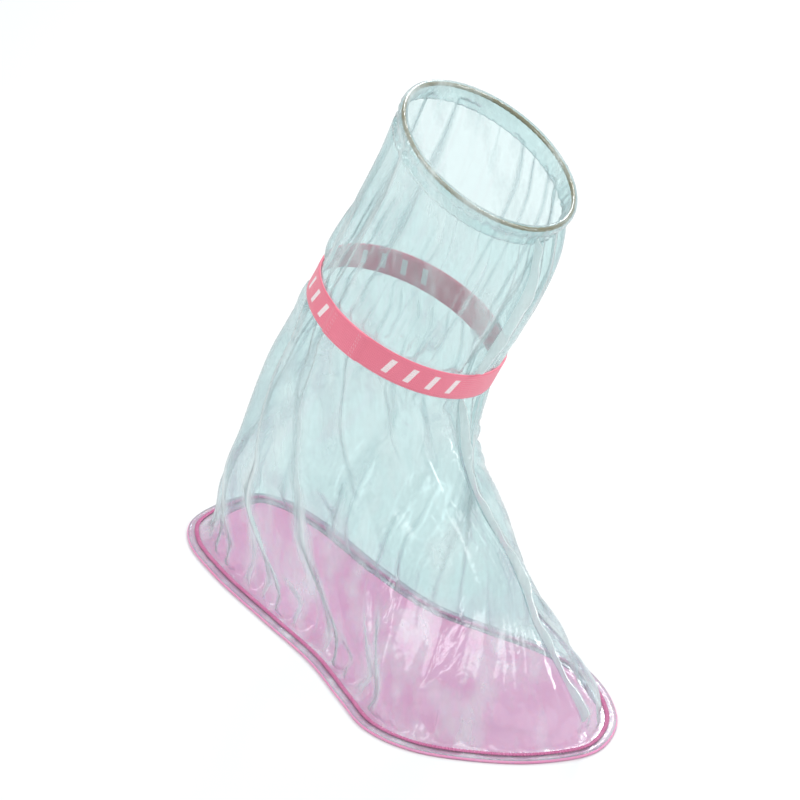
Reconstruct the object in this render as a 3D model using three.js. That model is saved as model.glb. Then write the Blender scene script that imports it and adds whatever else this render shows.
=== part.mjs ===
// Clear film boot cover for a right foot, in the form it takes over a shoe and a trouser leg:
// a limp tube of film with a welded front seam, an elastic hem, an ankle strap and a sole sheet.
//
// Frame, in millimetres: the origin is the heel seat, on the upper face of the sole, where the
// wearer's heel stands. +X runs to the toe, +Y to the inner side of the foot, and +Z is up.
import * as THREE from "three";

// ---------------------------------------------------------------- driving dimensions

const AROUND = 48; // points round a section: from the toe by the outer side to the heel and back
const GAP = 0.35; // clearance between pieces that touch
const FILM = 1.0; // wall of the film
const SOLE = { thick: 1.3, heelX: -65, heelY: 9, toeX: 236, toeY: 14 };
const FLANGE = { fromEdge: 1, wide: 11, moreAtHeel: 4, turnUp: 3 }; // film turned out onto the sole
const WELD = { fromEdge: 4, wide: 2.4, high: 0.8 }; // bead of the heat seal along the flange
const STRAP = { wide: 15, thick: 1.3, lapFrom: 0.19, lapTo: 0.27, lapThick: 1.0, pinch: 9.5 };
const ELASTIC = { radius: 1.1, sides: 6 };
const HEM = { deep: 12, rollRadius: 1.9, rollSteps: 4, flapOut: 1.3, flapEnd: -10 };
const SEAM = { high: 6, thick: 1.1, foot: 0.6, flat: 0.9, dent: 1.4 }; // fin down the front

// Outline of the sole: x from the heel seat, and y of its outer and its inner side there.
const SOLE_SIDES = [
  { x: -60, outer: -14, inner: 31 },
  { x: -44, outer: -27, inner: 39 },
  { x: -10, outer: -36, inner: 41 },
  { x: 40, outer: -42, inner: 37 },
  { x: 86, outer: -47, inner: 37 },
  { x: 122, outer: -56, inner: 47 },
  { x: 150, outer: -62, inner: 56 },
  { x: 178, outer: -56, inner: 58 },
  { x: 206, outer: -36, inner: 50 },
  { x: 226, outer: -13, inner: 36 },
];

// Sections of the film from the sole up: z and y of the middle, x of the back and the front,
// half width, how round the section is (0 is the outline of the foot, 1 an oval), how far its
// front is drawn to a point, lean to the toe and tip to the inner side in degrees, and the
// depth of the folds.
const SECTIONS = [
  { z: 10, y: 0, back: -50, front: 224, half: 48, round: 0.0, point: 0, lean: 0, tip: 0, fold: 0.6 },
  { z: 25, y: 1, back: -47, front: 217, half: 47, round: 0.2, point: 0.2, lean: 0, tip: 0, fold: 1.5 },
  { z: 40, y: 6, back: -43, front: 204, half: 46, round: 0.6, point: 0.5, lean: 0, tip: 0, fold: 1.8 },
  { z: 53, y: 10, back: -37, front: 191, half: 46, round: 0.9, point: 0.7, lean: 0, tip: 0, fold: 1.8 },
  { z: 66, y: 13, back: -29, front: 180, half: 47, round: 1.0, point: 0.8, lean: 0, tip: 0, fold: 2.0 },
  { z: 78, y: 15, back: -22, front: 166, half: 47, round: 1.0, point: 0.9, lean: 0, tip: 0, fold: 2.2 },
  { z: 91, y: 16, back: -16, front: 149, half: 46, round: 1.0, point: 0.9, lean: 1, tip: 1, fold: 2.4 },
  { z: 105, y: 17, back: -8, front: 136, half: 46, round: 1.0, point: 0.8, lean: 3, tip: 4, fold: 2.5 },
  { z: 121, y: 20, back: 0, front: 125, half: 47, round: 1.0, point: 0.5, lean: 7, tip: 9, fold: 2.2 },
  { z: 139, y: 24, back: 11, front: 119, half: 48.5, round: 1.0, point: 0.2, lean: 13, tip: 15, fold: 1.4 },
];
const STRAP_AT = { z: 163.5, y: 28, back: 20.5, front: 121, half: 50, lean: 18, tip: 19 };
const SHAFT = [
  { z: 187, y: 33, back: 31, front: 131, half: 50.5, round: 1.0, point: 0, lean: 20, tip: 19, fold: 1.2 },
  { z: 211, y: 38, back: 42, front: 142, half: 50, round: 1.0, point: 0, lean: 23, tip: 19, fold: 1.6 },
  { z: 235, y: 42, back: 52, front: 151, half: 48, round: 1.0, point: 0, lean: 25, tip: 18, fold: 1.4 },
];
const HEM_AT = { z: 265, y: 46, back: 64.5, front: 157.5, half: 45.5, lean: 27, tip: 18 };

// ---------------------------------------------------------------- outlines and sections

const share = (i) => i / AROUND; // 0 at the toe, 0.25 outer side, 0.5 heel, 0.75 inner side
const steps = [...Array(AROUND).keys()];

function soleOutline() {
  const at = (x, y) => new THREE.Vector3(x, y, 0);
  const outer = SOLE_SIDES.map((s) => at(s.x, s.outer)).reverse();
  const inner = SOLE_SIDES.map((s) => at(s.x, s.inner));
  const toe = at(SOLE.toeX, SOLE.toeY);
  const heel = at(SOLE.heelX, SOLE.heelY);
  const curve = new THREE.CatmullRomCurve3([toe, ...outer, heel, ...inner], true, "centripetal");
  curve.arcLengthDivisions = 2000;
  return curve.getSpacedPoints(AROUND).slice(0, AROUND);
}

// The outline moved inwards by a distance that may change round it, at a height z.
function inset(outline, distance, z) {
  return outline.map((p, i) => {
    const next = outline[(i + 1) % AROUND];
    const last = outline[(i + AROUND - 1) % AROUND];
    const along = next.clone().sub(last).normalize();
    const inwards = new THREE.Vector3(along.y, -along.x, 0);
    return p.clone().addScaledVector(inwards, distance(share(i))).setZ(z);
  });
}

const outline = soleOutline();
const flangeWidth = (u) => FLANGE.wide + FLANGE.moreAtHeel * Math.exp(-(((u - 0.5) / 0.06) ** 2));
const footOutline = inset(outline, flangeWidth, 0);
const footBox = new THREE.Box3().setFromPoints(footOutline);

// Folds: shallow waves of unlike lengths that drift round the section as it climbs.
function foldAt(u, height) {
  const turn = 2 * Math.PI * u;
  return 0.5 * Math.sin(5 * turn + height / 38) + 0.3 * Math.sin(8 * turn - height / 27 + 1.3)
    + 0.2 * Math.sin(13 * turn + height / 19 + 0.6);
}

// An oval of unit half length and width, its front drawn towards a point.
function oval(point) {
  const narrow = (angle) => Math.abs(Math.sin(angle / 2)) ** point;
  const angles = steps.map((i) => 2 * Math.PI * share(i));
  const widest = Math.max(...angles.map((a) => Math.abs(Math.sin(a)) * narrow(a)));
  return angles.map((a) => new THREE.Vector3(Math.cos(a), (-Math.sin(a) * narrow(a)) / widest, 0));
}

function frameOf(row) {
  const lean = THREE.MathUtils.degToRad(row.lean);
  const tip = THREE.MathUtils.degToRad(row.tip);
  const turn = new THREE.Euler(-tip, lean, 0, "YXZ");
  const middle = new THREE.Vector3((row.front + row.back) / 2, row.y, row.z);
  return new THREE.Matrix4().makeRotationFromEuler(turn).setPosition(middle);
}

function sectionRing(row) {
  const length = row.front - row.back;
  const size = footBox.getSize(new THREE.Vector3());
  const centre = footBox.getCenter(new THREE.Vector3());
  const round = oval(row.point);
  const frame = frameOf(row);
  return footOutline.map((p, i) => {
    const across = (2 * row.half * (p.y - centre.y)) / size.y;
    const foot = new THREE.Vector3((length * (p.x - centre.x)) / size.x, across, 0);
    const bow = round[i].clone().multiply(new THREE.Vector3(length / 2, row.half, 0));
    const local = foot.lerp(bow, row.round);
    const grow = (row.fold * foldAt(share(i), row.z)) / local.length();
    return local.multiplyScalar(1 + grow).applyMatrix4(frame);
  });
}

// A plain oval ring on a tipped section: moved out by "out" in its plane and up by "up" off it.
function plainRing(row, out, up, dent = 0) {
  const half = new THREE.Vector3((row.front - row.back) / 2, row.half, 0);
  const frame = frameOf(row);
  return oval(0).map((p, i) => {
    const outwards = new THREE.Vector3(p.x / half.x, p.y / half.y, 0).normalize();
    const local = p.clone().multiply(half).addScaledVector(outwards, i === 0 ? out - dent : out);
    return local.setZ(up).applyMatrix4(frame);
  });
}

// ---------------------------------------------------------------- solids

// A closed ring-shaped solid: "rows" are rings in order round its wall, the last next to the first.
function ringSolid(rows) {
  const positions = rows.flatMap((row) => row.flatMap((p) => [p.x, p.y, p.z]));
  const indices = [];
  rows.forEach((row, r) => {
    const s = (r + 1) % rows.length;
    steps.forEach((i) => {
      const j = (i + 1) % AROUND;
      const [a, b, c, d] = [r * AROUND + i, r * AROUND + j, s * AROUND + j, s * AROUND + i];
      indices.push(a, c, b, a, d, c);
    });
  });
  const geometry = new THREE.BufferGeometry();
  geometry.setAttribute("position", new THREE.Float32BufferAttribute(positions, 3));
  geometry.setIndex(indices);
  geometry.computeVertexNormals();
  return geometry;
}

// Normals of a grid of rings that climbs from row to row, pointing away from the inside.
function gridNormals(rows) {
  return rows.map((row, r) => row.map((p, i) => {
    const below = rows[Math.max(r - 1, 0)][i];
    const above = rows[Math.min(r + 1, rows.length - 1)][i];
    const before = row[(i + AROUND - 1) % AROUND];
    const after = row[(i + 1) % AROUND];
    const climb = above.clone().sub(below);
    const along = after.clone().sub(before);
    return climb.cross(along).normalize();
  }));
}

function offsetRows(rows, normals, distance) {
  return rows.map((row, r) => row.map((p, i) => p.clone().addScaledVector(normals[r][i], distance)));
}

// ---------------------------------------------------------------- film

const flangeZ = GAP + FILM / 2; // middle of the film where it lies on the sole

function flangeRows() {
  return [
    inset(outline, () => FLANGE.fromEdge, flangeZ),
    inset(outline, (u) => flangeWidth(u) - FLANGE.turnUp, flangeZ),
    inset(outline, flangeWidth, flangeZ + FLANGE.turnUp),
  ];
}

function hemRows() {
  const rows = [plainRing(HEM_AT, 0, -HEM.deep), plainRing(HEM_AT, 0, -HEM.deep / 4)];
  for (let k = 0; k <= HEM.rollSteps; k += 1) {
    const angle = Math.PI * (1 - k / HEM.rollSteps);
    const out = HEM.rollRadius * (1 + Math.cos(angle));
    rows.push(plainRing(HEM_AT, out, HEM.rollRadius * Math.sin(angle)));
  }
  rows.push(plainRing(HEM_AT, 2 * HEM.rollRadius - 0.4, HEM.flapEnd * 0.3));
  rows.push(plainRing(HEM_AT, HEM.flapOut, HEM.flapEnd * 0.5));
  rows.push(plainRing(HEM_AT, HEM.flapOut, HEM.flapEnd));
  return rows;
}

const strapRows = [-STRAP.pinch, 0, STRAP.pinch].map((up) => plainRing(STRAP_AT, 0, up, SEAM.dent));
const wallRows = [...SECTIONS.map(sectionRing), ...strapRows, ...SHAFT.map(sectionRing)];
const filmRows = [...flangeRows(), ...wallRows, ...hemRows()];
const filmNormals = gridNormals(filmRows);

function upperFilm() {
  const outside = offsetRows(filmRows, filmNormals, FILM / 2);
  const inside = offsetRows(filmRows, filmNormals, -FILM / 2);
  return ringSolid([...outside, ...inside.reverse()]);
}

// Fin of the front seam: a thin strip that stands on the film along its front line, from above
// the flange to below the hem, and lies flat where the strap presses on it.
function frontSeam() {
  const firstRow = 3;
  const lastRow = firstRow + wallRows.length;
  const strapRow = firstRow + SECTIONS.length + 1;
  const positions = [];
  for (let r = firstRow; r <= lastRow; r += 1) {
    const out = filmNormals[r][0];
    const side = filmRows[r][1].clone().sub(filmRows[r][AROUND - 1]).projectOnPlane(out).normalize();
    const high = Math.abs(r - strapRow) <= 1 ? SEAM.flat : SEAM.high;
    const base = filmRows[r][0].clone().addScaledVector(out, FILM / 2 + SEAM.foot);
    const tip = base.clone().addScaledVector(out, high);
    for (const [p, half] of [[base, -0.5], [base, 0.5], [tip, 0.5], [tip, -0.5]]) {
      positions.push(...p.clone().addScaledVector(side, half * SEAM.thick).toArray());
    }
  }
  const rows = positions.length / 12;
  const indices = [0, 2, 1, 0, 3, 2];
  for (let r = 0; r < rows - 1; r += 1) {
    for (let k = 0; k < 4; k += 1) {
      const [a, b] = [4 * r + k, 4 * r + ((k + 1) % 4)];
      indices.push(a, b, b + 4, a, b + 4, a + 4);
    }
  }
  const end = 4 * (rows - 1);
  indices.push(end, end + 1, end + 2, end, end + 2, end + 3);
  const geometry = new THREE.BufferGeometry();
  geometry.setAttribute("position", new THREE.Float32BufferAttribute(positions, 3));
  geometry.setIndex(indices);
  geometry.computeVertexNormals();
  return geometry;
}

// ---------------------------------------------------------------- sole, weld, strap and elastic

function soleSheet() {
  const shape = new THREE.Shape(outline.map((p) => new THREE.Vector2(p.x, p.y)));
  const geometry = new THREE.ExtrudeGeometry(shape, { depth: SOLE.thick, bevelEnabled: false });
  return geometry.translate(0, 0, -SOLE.thick);
}

function soleWeld() {
  const low = flangeZ + FILM / 2 + GAP;
  const outer = WELD.fromEdge;
  const inner = WELD.fromEdge + WELD.wide;
  return ringSolid([
    inset(outline, () => outer, low),
    inset(outline, () => outer, low + WELD.high),
    inset(outline, () => inner, low + WELD.high),
    inset(outline, () => inner, low),
  ]);
}

// The strap is a flat band whose one end laps over the other.
function ankleStrap() {
  const inner = FILM / 2 + GAP;
  const half = STRAP.wide / 2;
  const plain = inner + STRAP.thick;
  const lapped = plain + STRAP.lapThick;
  const outerRing = (up) => {
    const thin = plainRing(STRAP_AT, plain, up);
    const thick = plainRing(STRAP_AT, lapped, up);
    return steps.map((i) => (share(i) > STRAP.lapFrom && share(i) < STRAP.lapTo ? thick[i] : thin[i]));
  };
  return ringSolid([
    plainRing(STRAP_AT, inner, -half),
    outerRing(-half),
    outerRing(half),
    plainRing(STRAP_AT, inner, half),
  ]);
}

function topElastic() {
  const rows = [];
  for (let k = 0; k < ELASTIC.sides; k += 1) {
    const angle = (2 * Math.PI * k) / ELASTIC.sides;
    const out = HEM.rollRadius + ELASTIC.radius * Math.cos(angle);
    rows.push(plainRing(HEM_AT, out, ELASTIC.radius * Math.sin(angle)));
  }
  return ringSolid(rows);
}

// ---------------------------------------------------------------- assembly

function finish(color, roughness, opacity = 1) {
  return new THREE.MeshStandardMaterial({ color, roughness, metalness: 0, opacity, transparent: opacity < 1 });
}

const clearFilm = finish("#dfeae8", 0.22, 0.45);
const group = new THREE.Group();

function add(name, geometry, material) {
  const mesh = new THREE.Mesh(geometry, material);
  mesh.name = name;
  group.add(mesh);
}

add("sole_sheet", soleSheet(), finish("#e9a9c6", 0.4));
add("sole_weld", soleWeld(), finish("#d77fa8", 0.35));
add("upper_film", upperFilm(), clearFilm);
add("front_seam", frontSeam(), clearFilm);
add("top_elastic", topElastic(), finish("#a08a68", 0.8));
add("ankle_strap", ankleStrap(), finish("#f2788f", 0.7));

export default group;
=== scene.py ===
"""A clear film boot cover for a right foot, shown in the form it takes over a shoe and a trouser leg."""
import math

import bpy
import numpy as np
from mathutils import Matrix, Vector


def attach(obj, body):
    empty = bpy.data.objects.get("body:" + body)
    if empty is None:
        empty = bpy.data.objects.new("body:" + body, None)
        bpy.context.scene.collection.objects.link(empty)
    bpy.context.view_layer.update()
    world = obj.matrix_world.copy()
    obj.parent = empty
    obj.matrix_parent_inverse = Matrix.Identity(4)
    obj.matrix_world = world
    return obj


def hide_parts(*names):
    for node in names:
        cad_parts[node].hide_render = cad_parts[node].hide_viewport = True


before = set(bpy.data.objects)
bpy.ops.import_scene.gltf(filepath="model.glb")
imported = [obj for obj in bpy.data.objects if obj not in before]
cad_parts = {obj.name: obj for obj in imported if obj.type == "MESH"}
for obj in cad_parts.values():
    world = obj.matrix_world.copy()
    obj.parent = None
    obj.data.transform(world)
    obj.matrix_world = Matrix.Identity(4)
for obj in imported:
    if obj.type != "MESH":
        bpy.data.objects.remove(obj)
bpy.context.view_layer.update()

# ---------------------------------------------------------------- sole sheet
# A flat sheet of soft pink PVC, about 1 mm thick and die-cut to the outline of a right foot. The
# film's edge is welded to its rim all round. It is calendered, so it is glossy with a faint haze.

MM = 0.001
SOLE_THICK = 1.1
SOLE_ENDS = {"heel": (-65, 9), "toe": (236, 14)}
SOLE_SIDES = [  # x from the heel seat, y of the outer side, y of the inner side
    (-60, -14, 31), (-44, -27, 39), (-10, -36, 41), (40, -42, 37), (86, -47, 37),
    (122, -56, 47), (150, -62, 56), (178, -56, 58), (206, -36, 50), (226, -13, 36),
]
AROUND = 256  # points round the sole, the film and the strap: toe, outer side, heel, inner side


def spaced(points, count):
    """A closed centripetal Catmull-Rom curve through the points, cut into equal steps."""
    points = np.array(points, float)
    dense = []
    for i in range(len(points)):
        p = [points[(i + k) % len(points)] for k in (-1, 0, 1, 2)]
        t = np.cumsum([0] + [np.linalg.norm(b - a) ** 0.5 for a, b in zip(p, p[1:])])
        s = np.linspace(t[1], t[2], 60, endpoint=False)[:, None]
        a = [(t[k + 1] - s) / (t[k + 1] - t[k]) * p[k] + (s - t[k]) / (t[k + 1] - t[k]) * p[k + 1]
             for k in range(3)]
        b = [(t[k + 2] - s) / (t[k + 2] - t[k]) * a[k] + (s - t[k]) / (t[k + 2] - t[k]) * a[k + 1]
             for k in range(2)]
        dense.append((t[2] - s) / (t[2] - t[1]) * b[0] + (s - t[1]) / (t[2] - t[1]) * b[1])
    dense = np.concatenate(dense)
    closed = np.vstack([dense, dense[:1]])
    run = np.concatenate([[0], np.cumsum(np.linalg.norm(np.diff(closed, axis=0), axis=1))])
    at = np.linspace(0, run[-1], count, endpoint=False)
    return np.stack([np.interp(at, run, closed[:, k]) for k in range(2)], 1)


def inset(outline, distance):
    """The outline moved inwards by a distance, which may change round it."""
    along = np.roll(outline, -1, 0) - np.roll(outline, 1, 0)
    along /= np.linalg.norm(along, axis=1)[:, None]
    inwards = np.stack([along[:, 1], -along[:, 0]], 1)
    return outline + inwards * np.broadcast_to(distance, len(outline))[:, None]


def ring_mesh(name, rows, closed_wall=True, uv=None):
    """A piece from rings of points in mm: the last ring joins the first, or both ends are capped."""
    rows = np.array(rows, float)
    count, around = rows.shape[:2]
    index = np.arange(count * around).reshape(count, around)
    upper = np.roll(index, -1, 0) if closed_wall else index[1:]
    lower = index if closed_wall else index[:-1]
    faces = np.stack([lower, upper, np.roll(upper, -1, 1), np.roll(lower, -1, 1)], -1).reshape(-1, 4)
    mesh = bpy.data.meshes.new(name)
    caps = [] if closed_wall else [index[0].tolist(), index[-1][::-1].tolist()]
    mesh.from_pydata((rows.reshape(-1, 3) * MM).tolist(), [], faces.tolist() + caps)
    if uv is not None:
        layer = mesh.uv_layers.new(name="mm")
        corners = np.empty(len(mesh.loops), int)
        mesh.loops.foreach_get("vertex_index", corners)
        flat = np.array(uv, float).reshape(-1, 2)[corners]
        start = corners.reshape(-1, 4) % around
        wraps = (start.max(1) - start.min(1)) > around // 2
        turn = flat.reshape(-1, 4, 2)
        whole = turn[..., 0].max() * around / (around - 1)
        turn[wraps, :, 0] += np.where(start[wraps] < around // 2, whole, 0)
        layer.data.foreach_set("uv", turn.reshape(-1).astype(np.float32))
    mesh.shade_smooth()
    piece = bpy.data.objects.new(name, mesh)
    bpy.context.scene.collection.objects.link(piece)
    return piece


def colour(hex_value):
    """An sRGB hex colour as the linear colour that a shader socket takes."""
    parts = [int(hex_value[k:k + 2], 16) / 255 for k in (1, 3, 5)]
    return [*[c / 12.92 if c <= 0.04045 else ((c + 0.055) / 1.055) ** 2.4 for c in parts], 1]


def node(tree, kind, links=(), **settings):
    """Adds a node: settings name its properties or its sockets, and links feed its sockets."""
    made = tree.nodes.new(kind)
    for name, value in settings.items():
        if hasattr(made, name):
            setattr(made, name, value)
    sockets = {key.name.replace(" ", "_").lower(): key for key in reversed(made.inputs)}
    for name, value in settings.items():
        if not hasattr(made, name):
            sockets[name].default_value = value
    for socket, source in links:
        tree.links.new(source, made.inputs[socket])
    return made


def new_material(name):
    """An empty node material with its output, and the object's own coordinates in mm."""
    material = bpy.data.materials.new(name)
    material.use_nodes = True
    tree = material.node_tree
    tree.nodes.clear()
    output = node(tree, "ShaderNodeOutputMaterial")
    place = node(tree, "ShaderNodeTexCoord")
    scaled = node(tree, "ShaderNodeVectorMath", [(0, place.outputs["Object"])], operation="SCALE", scale=1000)
    return material, tree, output, scaled.outputs[0]


outline = spaced(
    [SOLE_ENDS["toe"], *[(x, outer) for x, outer, inner in reversed(SOLE_SIDES)],
     SOLE_ENDS["heel"], *[(x, inner) for x, outer, inner in SOLE_SIDES]], AROUND)
share = np.arange(AROUND) / AROUND


def level(points, z):
    return np.column_stack([points, np.broadcast_to(z, len(points))])


def pink_calendered_pvc():
    """Soft PVC sheet, calendered: glossy and even, clouded by a fine haze and fine grain."""
    material, tree, output, place = new_material("pink_calendered_pvc")
    cloud = node(tree, "ShaderNodeTexNoise", [("Vector", place)], scale=1 / 24, detail=4)
    tint = node(tree, "ShaderNodeMix", [("Factor", cloud.outputs[0])], data_type="RGBA")
    tint.inputs["A"].default_value = colour("#dc84b4")
    tint.inputs["B"].default_value = colour("#efb0d0")
    grain = node(tree, "ShaderNodeTexNoise", [("Vector", place)], scale=1 / 0.9, detail=2)
    bump = node(tree, "ShaderNodeBump", [("Height", grain.outputs[0])], strength=0.25, distance=0.0002)
    sheet = node(tree, "ShaderNodeBsdfPrincipled", [("Base Color", tint.outputs["Result"]),
                 ("Normal", bump.outputs[0])], roughness=0.32)
    sheet.inputs["Subsurface Weight"].default_value = 0.25
    sheet.inputs["Subsurface Scale"].default_value = 0.002
    tree.links.new(sheet.outputs[0], output.inputs[0])
    return material


edge_wave = 0.35 * np.sin(2 * np.pi * 9 * share) + 0.2 * np.sin(2 * np.pi * 23 * share + 1)
sole_rows = [level(inset(outline, d), z) for d, z in
             [(0.35, 0), (0.1, -0.15), (0, -0.55), (0.1, -0.95), (0.35, -SOLE_THICK)]]
sole_middle = outline.mean(0)
shrink = [0.96, 0.8, 0.6, 0.4, 0.2, 0.02]
under = [level(sole_middle + (outline - sole_middle) * k, -SOLE_THICK) for k in shrink]
over = [level(sole_middle + (outline - sole_middle) * k, 0) for k in reversed(shrink)]
sole = ring_mesh("sole_sheet_pvc", [*over, *sole_rows, *under][::-1], closed_wall=False)
sole.data.materials.append(pink_calendered_pvc())
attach(sole, "root")
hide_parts("sole_sheet")

# ---------------------------------------------------------------- upper film
# One tube of thin clear film. Its foot is turned out and welded to the sole, its top is folded
# over an elastic, and the strap gathers it at the ankle. Slack film buckles into sharp folds.

FILM = 0.3
FLANGE = 11 + 4 * np.exp(-(((share - 0.5) / 0.06) ** 2))  # wider round the heel
# z and y of the middle, x of the back and the front, half width, how round, how pointed in
# front, lean to the toe and tip to the inner side in degrees
SECTIONS = [
    (10, 0, -50, 224, 48, 0.0, 0.0, 0, 0),
    (25, 1, -47, 217, 47, 0.2, 0.2, 0, 0),
    (40, 6, -43, 204, 46, 0.6, 0.5, 0, 0),
    (53, 10, -37, 191, 46, 0.9, 0.7, 0, 0),
    (66, 13, -29, 180, 47, 1.0, 0.8, 0, 0),
    (78, 15, -22, 166, 47, 1.0, 0.9, 0, 0),
    (91, 16, -16, 149, 46, 1.0, 0.9, 1, 1),
    (105, 17, -8, 136, 46, 1.0, 0.8, 3, 4),
    (121, 20, 0, 125, 47, 1.0, 0.5, 7, 9),
    (139, 24, 11, 119, 48.5, 1.0, 0.2, 13, 15),
]
STRAP_AT = (163.5, 28, 20.5, 121, 50, 1, 0, 18, 19)
SHAFT = [
    (187, 33, 31, 131, 50.5, 1.0, 0, 20, 19),
    (211, 38, 42, 142, 50, 1.0, 0, 23, 19),
    (235, 42, 52, 151, 48, 1.0, 0, 25, 18),
]
HEM_AT = (265, 46, 64.5, 157.5, 45.5, 1, 0, 27, 18)
HEM_ROLL = 1.9
foot_outline = inset(outline, FLANGE)


def turned(points, row):
    """Points of a section's own plane, turned and moved to where the section stands."""
    z, y, back, front, half, round_, point, lean, tip = row
    t, l = math.radians(-tip), math.radians(lean)
    about_x = np.array([[1, 0, 0], [0, math.cos(t), -math.sin(t)], [0, math.sin(t), math.cos(t)]])
    about_y = np.array([[math.cos(l), 0, math.sin(l)], [0, 1, 0], [-math.sin(l), 0, math.cos(l)]])
    return points @ (about_y @ about_x).T + [(front + back) / 2, y, z]


def section(row, out=0.0, up=0.0):
    """A ring of the film's section: from the foot's outline to an oval drawn to a point in front."""
    z, y, back, front, half, round_, point, lean, tip = row
    low, high = foot_outline.min(0), foot_outline.max(0)
    foot = (foot_outline - (low + high) / 2) / (high - low) * [front - back, 2 * half]
    angle = 2 * np.pi * share
    narrow = np.abs(np.sin(angle / 2)) ** point
    widest = np.max(np.abs(np.sin(angle)) * narrow)
    oval = np.stack([np.cos(angle) * (front - back) / 2, -np.sin(angle) * narrow / widest * half], 1)
    flat = foot + (oval - foot) * round_
    outwards = np.stack([np.cos(angle) / (front - back) * 2, -np.sin(angle) / half], 1)
    outwards /= np.linalg.norm(outwards, axis=1)[:, None]
    flat = flat + outwards * np.broadcast_to(out, AROUND)[:, None]
    return turned(np.column_stack([flat, np.full(AROUND, up)]), row)


def through(rows, at):
    """Rings smoothly in between the given ones, at fractions of their mean run."""
    rows = np.array(rows)
    step = np.linalg.norm(np.diff(rows, axis=0), axis=2).mean(1)
    run = np.concatenate([[0], np.cumsum(step)])
    slope = np.gradient(rows, run, axis=0)
    s = np.array(at) * run[-1]
    k = np.clip(np.searchsorted(run, s, side="right") - 1, 0, len(rows) - 2)
    h = (run[k + 1] - run[k])[:, None, None]
    t = ((s - run[k]) / (run[k + 1] - run[k]))[:, None, None]
    return ((2 * t**3 - 3 * t**2 + 1) * rows[k] + (t**3 - 2 * t**2 + t) * h * slope[k]
            + (3 * t**2 - 2 * t**3) * rows[k + 1] + (t**3 - t**2) * h * slope[k + 1])


def normals(grid):
    """Outward normals of a grid of rings that climbs from row to row."""
    climb = np.gradient(grid, axis=0)
    along = np.roll(grid, -1, 1) - np.roll(grid, 1, 1)
    out = np.cross(climb, along)
    return out / np.linalg.norm(out, axis=2)[..., None]


def waves(seed, rows, count, slant, strength=1.0):
    """Random folds as waves round the film: how many go round, and how far they slant as they climb."""
    rng = np.random.default_rng(seed)
    v = np.linspace(0, 1, rows)[:, None]
    total = np.zeros((rows, AROUND))
    for k in range(14):
        number = rng.integers(*count)
        drift = rng.uniform(-slant, slant)
        beat_turns = rng.integers(1, 4) * share + rng.uniform(0, 1) + rng.uniform(-1, 1) * v
        beat = 0.5 + 0.5 * np.sin(2 * np.pi * beat_turns)
        total += beat * np.sin(2 * np.pi * (number * share + drift * v + rng.uniform(0, 1)))
    return strength * total / 2.6


WALL_ROWS = 168
STRAP_HOLDS = 7.8  # half the height of the band that each of these holds still
HEM_HOLDS = 7.0
foot_rows = [level(inset(outline, FLANGE - 2.0), 1.0), level(foot_outline, 3.2)]
strap_rows = [section(STRAP_AT, up=u) for u in (-8, 0, 8)]
hem_low = section(HEM_AT, up=-HEM_HOLDS)
wall_base = through(
    [*foot_rows, *[section(r) for r in SECTIONS], *strap_rows, *[section(r) for r in SHAFT], hem_low],
    np.linspace(0, 1, WALL_ROWS))
wall_normals = normals(wall_base)


def distance_to_ring(row, half):
    """How far each point of the wall lies above or below a tipped ring, in mm, past its half width."""
    origin = turned(np.zeros((1, 3)), row)[0]
    axis = turned(np.array([[0, 0, 1.0]]), row)[0] - origin
    return np.abs((wall_base - origin) @ axis) - half


from_strap = distance_to_ring(STRAP_AT, STRAP_HOLDS)
from_hem = distance_to_ring(HEM_AT, HEM_HOLDS)
from_sole = np.linalg.norm(wall_base - wall_base[0], axis=2)
FOLD_IN, FOLD_OUT = 5.5, 7.5  # how far a fold may stand off the leg, in mm
ROUNDS, QUICK_ROUNDS = 240, 60


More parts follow.
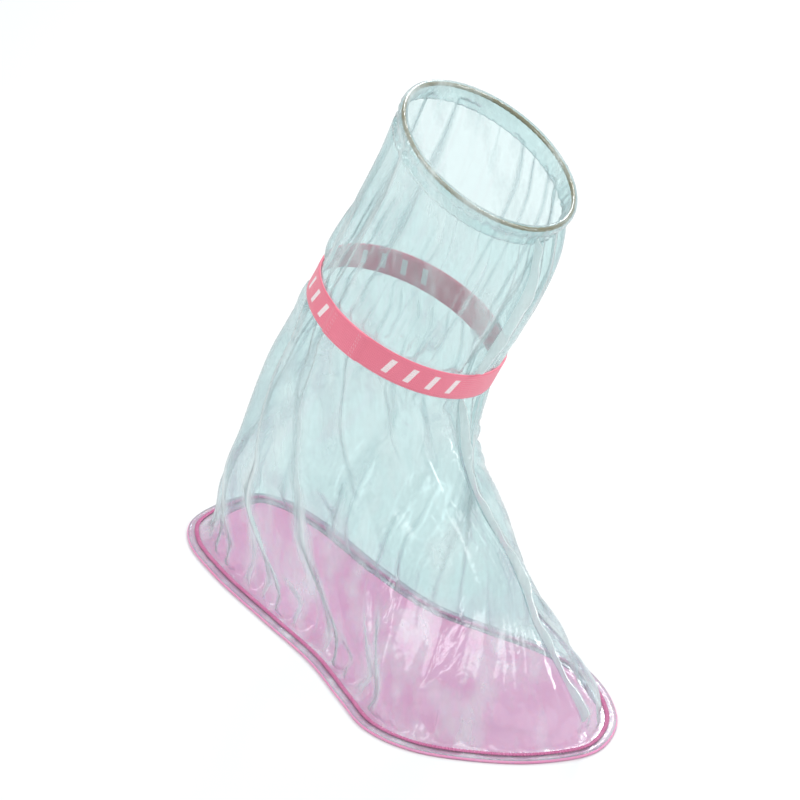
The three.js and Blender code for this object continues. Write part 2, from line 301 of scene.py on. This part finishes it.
def relaxed_film():
    """Lets the slack film settle: its threads keep the length of the flat cut, which is longer than
    the way round the leg, so it buckles between the sole, the strap and the hem that hold it."""
    slack = 0.06 + 0.09 * np.exp(-from_strap / 34) + 0.08 * np.exp(-from_hem / 26)
    slack = slack + 0.06 * np.exp(-from_sole / 16)
    lengthwise = waves(3, WALL_ROWS, (6, 15), 1.0, 2.2)
    gathers = waves(5, WALL_ROWS, (24, 40), 0.6, 1.0) * (np.exp(-from_strap / 18) + np.exp(-from_hem / 16))
    puckers = waves(8, WALL_ROWS, (34, 56), 0.8, 0.9) * np.exp(-from_sole / 12)
    slanted = waves(11, WALL_ROWS, (3, 7), 5.0, 1.1) * np.exp(-((wall_base[..., 2] - 85) / 45) ** 2)
    held = (from_strap < 0) | (from_hem < 0)
    held[0] = True
    held[:, 0] = True  # the front seam is stiff and keeps its line
    start = np.where(held, 0.0, lengthwise + gathers + puckers + slanted)
    film = (wall_base + wall_normals * start[..., None]).reshape(-1, 3)
    index = np.arange(WALL_ROWS * AROUND).reshape(WALL_ROWS, AROUND)
    flat = wall_base.reshape(-1, 3)
    free = np.where(held, 0.0, 1.0).reshape(-1)
    loose = slack.reshape(-1)
    bands = []

    def edge_band(first, second, round_share, stiffness):
        rest = np.linalg.norm(flat[first] - flat[second], axis=1)
        rest = rest * (1 + round_share * (loose[first] + loose[second]) / 2)
        weight = free[first] + free[second]
        use = weight > 0
        first, second, rest, weight = first[use], second[use], rest[use], weight[use]
        move_first = (free[first] / weight * stiffness)[:, None]
        move_second = (free[second] / weight * stiffness)[:, None]
        return first, second, rest, move_first, move_second

    for reach, stiffness in ((1, 1.0), (3, 0.12)):
        across = np.roll(index, -reach, 1)
        for half in range(2):
            pick = np.arange(AROUND)[(np.arange(AROUND) // reach) % 2 == half]
            bands.append(edge_band(index[:, pick].reshape(-1), across[:, pick].reshape(-1), 1.0, stiffness))
        for half in range(2):
            low = np.arange(WALL_ROWS - reach)
            low = low[(low // reach) % 2 == half]
            below, above = index[low].reshape(-1), index[low + reach].reshape(-1)
            bands.append(edge_band(below, above, 0.12, stiffness))
    for step in (-1, 1):
        for half in range(2):
            low = np.arange(half, WALL_ROWS - 1, 2)
            below, above = index[low].reshape(-1), np.roll(index, step, 1)[low + 1].reshape(-1)
            bands.append(edge_band(below, above, 0.55, 0.35))
    rounds = ROUNDS
    normal = wall_normals.reshape(-1, 3)
    for _ in range(rounds):
        for first, second, rest, move_first, move_second in bands:
            gap = film[second] - film[first]
            length = np.sqrt((gap * gap).sum(1))
            pull = gap * ((length - rest) / np.maximum(length, 1e-6))[:, None]
            film[first] += pull * move_first
            film[second] -= pull * move_second
        out = ((film - flat) * normal).sum(1)
        film -= normal * ((out - np.clip(out, -FOLD_IN, FOLD_OUT)) * free)[:, None]
        film[:, 2] = np.maximum(film[:, 2], 1.0)
    return film.reshape(WALL_ROWS, AROUND, 3)


wall = relaxed_film()

ripple = waves(21, 8, (40, 64), 0.4, 1.0)
flange = []
for k, from_edge in enumerate((0.6, 2.5, 4.2, 5.4, 6.8, 8.2)):
    height = 0.45 + max(0.0, from_edge - 6) * (0.14 + 0.1 * ripple[k])
    flange.append(level(inset(outline, np.minimum(from_edge, FLANGE - 2.6)), height))

gather = waves(31, 12, (40, 66), 0.5, 0.6)
hem = []
profile = [(0.0, -5.5), (0.0, -3.0), (0.0, -0.6)]
profile += [(HEM_ROLL * (1 + math.cos(a)), HEM_ROLL * math.sin(a)) for a in np.linspace(math.pi, 0, 9)]
profile += [(3.7, -2.0), (3.0, -3.6), (1.9, -4.8), (1.3, -6.5), (1.3, -8.6), (1.5, -10.4)]
for k, (out, up) in enumerate(profile):
    calm = 0.25 if 1 < k < 12 else 1.0
    hem.append(section(HEM_AT, out=out + calm * gather[min(k, 11)] * 0.6 + (0.35 if k > 13 else 0), up=up))
film_rows = np.concatenate([flange, wall, hem])


def crinkled_clear_film(name, milkiness):
    """Blown clear film, glossy: nearly clear face on, greyer and milky where a fold turns it edge on.
    Long soft whitish streaks are painted highlights that stand in for glints on folds, and fine wrinkles a
    few mm apart break up its shine."""
    material, tree, output, place = new_material(name)
    lengthened = node(tree, "ShaderNodeMapping", [("Vector", place)], scale=(1, 1, 0.3))
    wrinkle = node(tree, "ShaderNodeTexNoise", [("Vector", lengthened.outputs[0])],
                   scale=1 / 7, detail=2.5, distortion=0.6)
    bump = node(tree, "ShaderNodeBump", [("Height", wrinkle.outputs[0])], strength=0.4, distance=0.0014)
    # Painted highlight: a long stretched noise makes the film whiter in soft streaks, standing in for glints
    # on folds; the milkiness under them is the film's own haze.
    glint_streak_noise = node(tree, "ShaderNodeTexNoise", [("Vector", lengthened.outputs[0])],
                  scale=1 / 22, detail=4, roughness=0.6)
    painted_glint_streak = node(tree, "ShaderNodeMapRange", [("Value", glint_streak_noise.outputs[0])],
                  from_min=0.46, from_max=0.7, to_min=milkiness, to_max=0.34 + milkiness)
    turned_away = node(tree, "ShaderNodeLayerWeight", blend=0.5)
    edge = node(tree, "ShaderNodeMapRange", [("Value", turned_away.outputs["Facing"])],
                from_min=0.35, from_max=1.0, to_min=0, to_max=0.42)
    milk_and_painted_glints = node(tree, "ShaderNodeMath", [(0, painted_glint_streak.outputs[0]), (1, edge.outputs[0])],
                operation="ADD", use_clamp=True)
    through_film = node(tree, "ShaderNodeMix", [("Factor", edge.outputs[0])], data_type="RGBA")
    through_film.inputs["A"].default_value = colour("#f2f9f9")
    through_film.inputs["B"].default_value = colour("#b5cbd0")
    clear = node(tree, "ShaderNodeBsdfTransparent", [("Color", through_film.outputs["Result"])])
    film = node(tree, "ShaderNodeBsdfPrincipled", [("Normal", bump.outputs[0])], roughness=0.3)
    film.inputs["Base Color"].default_value = colour("#edf6f6")
    body = node(tree, "ShaderNodeMixShader",
                [(0, milk_and_painted_glints.outputs[0]), (1, clear.outputs[0]), (2, film.outputs[0])])
    shine = node(tree, "ShaderNodeBsdfGlossy", [("Normal", bump.outputs[0])], roughness=0.13)
    glance = node(tree, "ShaderNodeLayerWeight", [("Normal", bump.outputs[0])], blend=0.5)
    steep = node(tree, "ShaderNodeMath", [(0, glance.outputs["Facing"])], operation="POWER")
    steep.inputs[1].default_value = 4
    mirror = node(tree, "ShaderNodeMapRange", [("Value", steep.outputs[0])], to_min=0.05, to_max=0.6)
    whole = node(tree, "ShaderNodeMixShader",
                 [(0, mirror.outputs[0]), (1, body.outputs[0]), (2, shine.outputs[0])])
    tree.links.new(whole.outputs[0], output.inputs[0])
    return material


clear_film = crinkled_clear_film("crinkled_clear_film", 0.03)
half_film = normals(film_rows) * FILM / 2
film = ring_mesh("upper_film_clear", [*(film_rows + half_film), *(film_rows - half_film)[::-1]])
film.data.materials.append(clear_film)
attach(film, "root")
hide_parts("upper_film")
film.visible_shadow = False  # clear film casts little shadow, and without it the render is much faster

# ---------------------------------------------------------------- sole weld
# The heat seal that joins the film to the sole: a pressed bead along the rim, deeper pink where
# the two layers have fused, crossed by the fine ribs of the welding bar.

WELD_FROM_EDGE, WELD_WIDE = 4.0, 2.2
WELD_MIDDLE, WELD_HALF_HIGH = 1.15, 0.42


def fused_pink_pvc():
    """PVC fused under a heated bar: denser and deeper in colour than the sheet, and glossy."""
    material, tree, output, place = new_material("fused_pink_pvc")
    cloud = node(tree, "ShaderNodeTexNoise", [("Vector", place)], scale=1 / 9, detail=4)
    tint = node(tree, "ShaderNodeMix", [("Factor", cloud.outputs[0])], data_type="RGBA")
    tint.inputs["A"].default_value = colour("#c4558c")
    tint.inputs["B"].default_value = colour("#dd8ab4")
    where = node(tree, "ShaderNodeUVMap", uv_map="mm")
    parts = node(tree, "ShaderNodeSeparateXYZ", [(0, where.outputs[0])])
    turn = node(tree, "ShaderNodeMath", [(0, parts.outputs[0])], operation="MULTIPLY")
    turn.inputs[1].default_value = 2 * math.pi / 1.8
    rib = node(tree, "ShaderNodeMath", [(0, turn.outputs[0])], operation="SINE")
    bump = node(tree, "ShaderNodeBump", [("Height", rib.outputs[0])], strength=0.7, distance=0.0003)
    weld = node(tree, "ShaderNodeBsdfPrincipled", [("Base Color", tint.outputs["Result"]),
                ("Normal", bump.outputs[0])], roughness=0.24)
    tree.links.new(weld.outputs[0], output.inputs[0])
    return material


weld_rows = []
for angle in np.linspace(0, 2 * math.pi, 8, endpoint=False):
    inwards = WELD_FROM_EDGE + WELD_WIDE / 2 * (1 - math.cos(angle))
    weld_rows.append(level(inset(outline, inwards), WELD_MIDDLE + WELD_HALF_HIGH * math.sin(angle)))
rim_length = np.linalg.norm(np.diff(outline, axis=0), axis=1).sum()
weld_uv = [np.stack([share * rim_length, np.full(AROUND, k)], 1) for k in range(len(weld_rows))]
weld = ring_mesh("sole_weld_bead", weld_rows, uv=weld_uv)
weld.data.materials.append(fused_pink_pvc())
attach(weld, "root")
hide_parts("sole_weld")

# ---------------------------------------------------------------- front seam
# The two halves of the film are welded together down the front, which leaves a narrow fin of
# doubled film. It stands ruffled on the instep and lies flat under the strap.

SEAM_HIGH, SEAM_THICK = 5.5, 0.7
SEAM_START = 6  # the row of the wall that it rises from
front = wall[SEAM_START:, 0]
front_out = wall_normals[SEAM_START:, 0]
front_side = np.cross(np.gradient(front, axis=0), front_out)
front_side /= np.linalg.norm(front_side, axis=1)[:, None]
under_strap = np.clip(from_strap[SEAM_START:, 0] / 5, 0, 1)
climb = np.concatenate([[0], np.cumsum(np.linalg.norm(np.diff(front, axis=0), axis=1))])
from_end = np.clip(np.minimum(climb, climb[-1] - climb) / 4, 0.15, 1)
sway = np.sin(climb / 5.5) * 0.9 + np.sin(climb / 2.3 + 1) * 0.35 + np.sin(climb / 13 + 2) * 0.8
seam_rows = []
for share_up, side in ((0, -1), (0.35, -1), (0.7, -1), (1, -1), (1, 1), (0.7, 1), (0.35, 1), (0, 1)):
    high = 0.35 + share_up * (SEAM_HIGH * (0.08 + 0.92 * under_strap) * from_end)
    lean = share_up**1.5 * sway * (0.3 + 0.7 * under_strap)
    seam_rows.append(front + front_out * high[:, None] + front_side * (lean + side * SEAM_THICK / 2)[:, None])
seam_grid = np.array(seam_rows).transpose(1, 0, 2)
count = len(front)
faces = [(r * 8 + k, r * 8 + (k + 1) % 8, (r + 1) * 8 + (k + 1) % 8, (r + 1) * 8 + k)
         for r in range(count - 1) for k in range(8)]
faces += [tuple(range(7, -1, -1)), tuple((count - 1) * 8 + k for k in range(8))]
seam_mesh = bpy.data.meshes.new("front_seam_fin")
seam_mesh.from_pydata((seam_grid.reshape(-1, 3) * MM).tolist(), [], faces)
seam = bpy.data.objects.new("front_seam_fin", seam_mesh)
bpy.context.scene.collection.objects.link(seam)
seam.data.materials.append(crinkled_clear_film("welded_double_film", 0.5))
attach(seam, "root")
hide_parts("front_seam")

# ---------------------------------------------------------------- top elastic
# A covered elastic thread about 2 mm thick, sewn into the rolled hem. Its tan cotton cover is
# wound round the rubber, so it looks like a fine rope.

ELASTIC_RADIUS = 1.05
TWIST, TURNS = 0.12, 84  # how deep the wound yarn ripples, and its turns round the hem


def wound_cotton_cover():
    """Cotton yarn wound on rubber: matt and tan, with an uneven grain."""
    material, tree, output, place = new_material("wound_cotton_cover")
    yarn = node(tree, "ShaderNodeTexNoise", [("Vector", place)], scale=1 / 1.1, detail=3)
    tint = node(tree, "ShaderNodeMix", [("Factor", yarn.outputs[0])], data_type="RGBA")
    tint.inputs["A"].default_value = colour("#6f5c3c")
    tint.inputs["B"].default_value = colour("#a8946c")
    bump = node(tree, "ShaderNodeBump", [("Height", yarn.outputs[0])], strength=0.6, distance=0.0003)
    thread = node(tree, "ShaderNodeBsdfPrincipled", [("Base Color", tint.outputs["Result"]),
                  ("Normal", bump.outputs[0])], roughness=0.85)
    tree.links.new(thread.outputs[0], output.inputs[0])
    return material


elastic_rows = []
hem_axis = turned(np.array([[0, 0, 1.0]]), HEM_AT)[0] - turned(np.zeros((1, 3)), HEM_AT)[0]
for angle in np.linspace(0, 2 * math.pi, 10, endpoint=False):
    radius = ELASTIC_RADIUS + TWIST * np.sin(2 * np.pi * TURNS * share + angle)
    level_ring = section(HEM_AT, out=HEM_ROLL + radius * math.cos(angle))
    elastic_rows.append(level_ring + (radius * math.sin(angle))[:, None] * hem_axis)
elastic = ring_mesh("top_elastic_thread", elastic_rows)
elastic.data.materials.append(wound_cotton_cover())
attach(elastic, "root")
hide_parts("top_elastic")

# ---------------------------------------------------------------- ankle strap
# A loop of woven elastic webbing, 15 mm wide, its ends lapped and sewn. It holds the cover to
# the ankle. A plain row of slanted white bars is printed along it.

STRAP_WIDE, STRAP_THICK = 15.0, 1.1
LAP_FROM, LAP_TO, LAP_THICK = 0.19, 0.27, 0.95
STRAP_INNER = 0.75
BEVEL = 0.3
strap_length = 2 * np.pi * 50.5
REPEAT = strap_length / 4  # the printed bars repeat four times round the loop
BAR_PITCH = 11.5


def woven_pink_elastic():
    """Woven elastic webbing: matt salmon-pink yarn over rubber cores, ribbed across every mm, with
    a row of slanted bars printed in white ink that has sunk into the weave."""
    material, tree, output, place = new_material("woven_pink_elastic")
    where = node(tree, "ShaderNodeUVMap", uv_map="mm")
    parts = node(tree, "ShaderNodeSeparateXYZ", [(0, where.outputs[0])])

    def math_node(operation, *values):
        made = node(tree, "ShaderNodeMath", operation=operation)
        for socket, value in zip(made.inputs, values):
            if isinstance(value, (int, float)):
                socket.default_value = value
            else:
                tree.links.new(value, socket)
        return made.outputs[0]

    along, across = parts.outputs[0], parts.outputs[1]
    ribs = math_node("SINE", math_node("MULTIPLY", along, 2 * math.pi / 0.9))
    cords = math_node("SINE", math_node("MULTIPLY", across, 2 * math.pi / 1.25))
    weave = math_node("ADD", math_node("MULTIPLY", ribs, 0.6), math_node("MULTIPLY", cords, 0.5))
    in_repeat = math_node("FRACT", math_node("DIVIDE", math_node("SUBTRACT", along, 8.0), REPEAT))
    slant = math_node("MULTIPLY", across, 0.3)
    slanted = math_node("ADD", math_node("MULTIPLY", in_repeat, REPEAT), slant)
    in_step = math_node("FRACT", math_node("DIVIDE", slanted, BAR_PITCH))
    bar = math_node("LESS_THAN", math_node("ABSOLUTE", math_node("SUBTRACT", in_step, 0.5)), 0.13)
    tall = math_node("LESS_THAN", math_node("ABSOLUTE", math_node("SUBTRACT", across, STRAP_WIDE / 2)), 4.2)
    in_group = math_node("LESS_THAN", math_node("ABSOLUTE", math_node("SUBTRACT", slanted, 26.0)), 23.0)
    ink = math_node("MULTIPLY", math_node("MULTIPLY", bar, tall), in_group)
    wear = node(tree, "ShaderNodeTexNoise", [("Vector", place)], scale=1 / 0.8, detail=3)
    inked = math_node("MULTIPLY", ink, math_node("ADD", math_node("MULTIPLY", wear.outputs[0], 0.35), 0.72))
    fade = node(tree, "ShaderNodeTexNoise", [("Vector", place)], scale=1 / 42, detail=2)
    yarn = node(tree, "ShaderNodeMix", [("Factor", fade.outputs[0])], data_type="RGBA")
    yarn.inputs["A"].default_value = colour("#ef5a78")
    yarn.inputs["B"].default_value = colour("#f57f98")
    # Painted shade: the yarn is a little paler pink all over, and lighter on the rib tops and darker in the
    # grooves, following the same weave height as the bump.
    paler = math_node("ADD", math_node("MULTIPLY", weave, 0.12), 0.14)
    weave_painted_shade = node(tree, "ShaderNodeMix", [("Factor", paler)], data_type="RGBA")
    tree.links.new(yarn.outputs["Result"], weave_painted_shade.inputs["A"])
    weave_painted_shade.inputs["B"].default_value = colour("#ffc3cf")
    printed = node(tree, "ShaderNodeMix", [("Factor", inked)], data_type="RGBA")
    tree.links.new(weave_painted_shade.outputs["Result"], printed.inputs["A"])
    printed.inputs["B"].default_value = colour("#fdf3f4")
    bump = node(tree, "ShaderNodeBump", [("Height", weave)], strength=0.5, distance=0.00025)
    cloth = node(tree, "ShaderNodeBsdfPrincipled", [("Base Color", printed.outputs["Result"]),
                 ("Normal", bump.outputs[0])], roughness=0.72)
    cloth.inputs["Sheen Weight"].default_value = 0.35
    tree.links.new(cloth.outputs[0], output.inputs[0])
    return material


lap = np.clip(np.minimum(share - LAP_FROM, LAP_TO - share) * 180, 0, 1)
lap = lap * lap * (3 - 2 * lap)
half_wide = STRAP_WIDE / 2
outer_face = STRAP_INNER + STRAP_THICK + LAP_THICK * lap
flat_to = half_wide - BEVEL
loop = [
    *[(STRAP_INNER, up) for up in np.linspace(flat_to, -flat_to, 8)],
    (STRAP_INNER + BEVEL, -half_wide),
    (outer_face - BEVEL, -half_wide),
    *[(outer_face, up) for up in np.linspace(-flat_to, flat_to, 12)],
    (outer_face - BEVEL, half_wide),
    (STRAP_INNER + BEVEL, half_wide),
]
rings = [section(STRAP_AT, out=out, up=up) for out, up in loop]
uvs = [np.stack([share * strap_length, np.full(AROUND, up + half_wide)], 1) for out, up in loop]
strap = ring_mesh("ankle_strap_webbing", rings, uv=uvs)
strap.data.materials.append(woven_pink_elastic())
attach(strap, "root")
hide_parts("ankle_strap")

# ---------------------------------------------------------------- lap stitches
# Short upright thread stitches that sew the strap's lapped ends together, in a double row near
# each end of the lap. The polyester thread is paler than the webbing and stands a little proud.

STITCH_PITCH, STITCH_LONG, STITCH_THICK = 1.9, 1.5, 0.42


def pale_pink_thread():
    """Spun polyester sewing thread: pale pink and nearly matt."""
    material, tree, output, place = new_material("pale_pink_thread")
    twist = node(tree, "ShaderNodeTexNoise", [("Vector", place)], scale=1 / 0.4, detail=2)
    tint = node(tree, "ShaderNodeMix", [("Factor", twist.outputs[0])], data_type="RGBA")
    tint.inputs["A"].default_value = colour("#f08aa2")
    tint.inputs["B"].default_value = colour("#ffd3dc")
    thread = node(tree, "ShaderNodeBsdfPrincipled", [("Base Color", tint.outputs["Result"])], roughness=0.6)
    tree.links.new(thread.outputs[0], output.inputs[0])
    return material


def repeated(name, places, material):
    """A Geometry Nodes repeat: one rounded upright stitch on every place."""
    points = bpy.data.meshes.new(name)
    points.from_pydata([tuple(p * MM) for p in places], [], [])
    holder = bpy.data.objects.new(name, points)
    bpy.context.scene.collection.objects.link(holder)
    group = bpy.data.node_groups.new(name, "GeometryNodeTree")
    group.interface.new_socket("Geometry", in_out="INPUT", socket_type="NodeSocketGeometry")
    for title in ("Stitch Length", "Stitch Thickness"):
        group.interface.new_socket(title, in_out="INPUT", socket_type="NodeSocketFloat")
    group.interface.new_socket("Geometry", in_out="OUTPUT", socket_type="NodeSocketGeometry")
    given, result = node(group, "NodeGroupInput"), node(group, "NodeGroupOutput")
    ball = node(group, "GeometryNodeMeshUVSphere", segments=10, rings=7, radius=0.5)
    size = node(group, "ShaderNodeCombineXYZ", [("X", given.outputs["Stitch Thickness"]),
                ("Y", given.outputs["Stitch Thickness"]), ("Z", given.outputs["Stitch Length"])])
    stitch = node(group, "GeometryNodeTransform",
                  [("Geometry", ball.outputs["Mesh"]), ("Scale", size.outputs[0])])
    each = node(group, "GeometryNodeInstanceOnPoints",
                [("Points", given.outputs["Geometry"]), ("Instance", stitch.outputs[0])])
    real = node(group, "GeometryNodeRealizeInstances", [("Geometry", each.outputs[0])])
    finished = node(group, "GeometryNodeSetMaterial", [("Geometry", real.outputs[0])], material=material)
    group.links.new(finished.outputs[0], result.inputs[0])
    modifier = holder.modifiers.new(name, "NODES")
    modifier.node_group = group
    sockets = {item.name: item.identifier for item in group.interface.items_tree if item.in_out == "INPUT"}
    modifier[sockets["Stitch Length"]] = STITCH_LONG * MM
    modifier[sockets["Stitch Thickness"]] = STITCH_THICK * MM
    baked = bpy.data.meshes.new_from_object(holder.evaluated_get(bpy.context.evaluated_depsgraph_get()))
    holder.modifiers.clear()
    holder.data = baked
    return holder


stitch_places = []
for at in (LAP_FROM + 0.012, LAP_FROM + 0.018, LAP_TO - 0.018, LAP_TO - 0.012):
    for up in np.arange(-half_wide + 1.6, half_wide - 1.5, STITCH_PITCH):
        ring = section(STRAP_AT, out=STRAP_INNER + STRAP_THICK + LAP_THICK, up=up)
        stitch_places.append(ring[round(at * AROUND)])
stitches = repeated("lap_stitches", stitch_places, pale_pink_thread())
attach(stitches, "root")

# ---------------------------------------------------------------- floor, light and camera
# A plain pale flat floor, a large soft light above, and three narrow upright ones round the object
# that give the film its glints.


def pale_paper():
    """Matt studio paper: plain, with no pattern."""
    material, tree, output, place = new_material("pale_paper")
    paper = node(tree, "ShaderNodeBsdfPrincipled", roughness=0.9)
    paper.inputs["Base Color"].default_value = colour("#f4f5f5")
    tree.links.new(paper.outputs[0], output.inputs[0])
    return material


FLOOR_Z = -SOLE_THICK * MM - 0.0003
floor_mesh = bpy.data.meshes.new("floor")
corners = [(-20, -20, FLOOR_Z), (20, -20, FLOOR_Z), (20, 20, FLOOR_Z), (-20, 20, FLOOR_Z)]
floor_mesh.from_pydata(corners, [], [(0, 1, 2, 3)])
floor = bpy.data.objects.new("floor", floor_mesh)
bpy.context.scene.collection.objects.link(floor)
floor.data.materials.append(pale_paper())

world = bpy.data.worlds.new("studio")
bpy.context.scene.world = world
world.use_nodes = True
world.node_tree.nodes["Background"].inputs[0].default_value = colour("#eef2f4")
world.node_tree.nodes["Background"].inputs[1].default_value = 0.6
AIM = Vector((0.085, 0.012, 0.130))


def towards(azimuth, elevation):
    """The way from the object to a light or the camera, in degrees: azimuth 0 is the -Y side."""
    a, e = math.radians(azimuth), math.radians(elevation)
    return Vector((math.sin(a) * math.cos(e), -math.cos(a) * math.cos(e), math.sin(e)))


def soft_light(name, azimuth, elevation, away, size, power):
    """A soft box aimed at the object, with its distance and size in metres and power in watts."""
    back = towards(azimuth, elevation)
    data = bpy.data.lights.new(name, "AREA")
    data.shape = "RECTANGLE"
    data.size, data.size_y = size
    data.energy = power
    light = bpy.data.objects.new(name, data)
    light.location = AIM + back * away
    light.rotation_euler = (-back).to_track_quat("-Z", "Y").to_euler()
    bpy.context.scene.collection.objects.link(light)


soft_light("key", 15, 62, 1.3, (0.8, 0.8), 5)
soft_light("side", 125, 28, 1.4, (0.16, 1.2), 7)
soft_light("fill", -40, 25, 1.6, (0.2, 1.2), 3.5)
soft_light("rim", 215, 40, 1.3, (0.16, 1.0), 7)

CAMERA_AZIMUTH, CAMERA_ELEVATION, CAMERA_AWAY = 51.6, 30.0, 2.256
back = towards(CAMERA_AZIMUTH, CAMERA_ELEVATION)
camera = bpy.data.objects.new("camera", bpy.data.cameras.new("camera"))
bpy.context.scene.collection.objects.link(camera)
bpy.context.scene.camera = camera
camera.location = AIM + back * CAMERA_AWAY
camera.rotation_euler = (-back).to_track_quat("-Z", "Y").to_euler()
camera.data.lens = 205
camera.data.clip_start = 0.05
bpy.context.scene.cycles.transparent_max_bounces = 32
bpy.context.scene.view_settings.view_transform = "Standard"
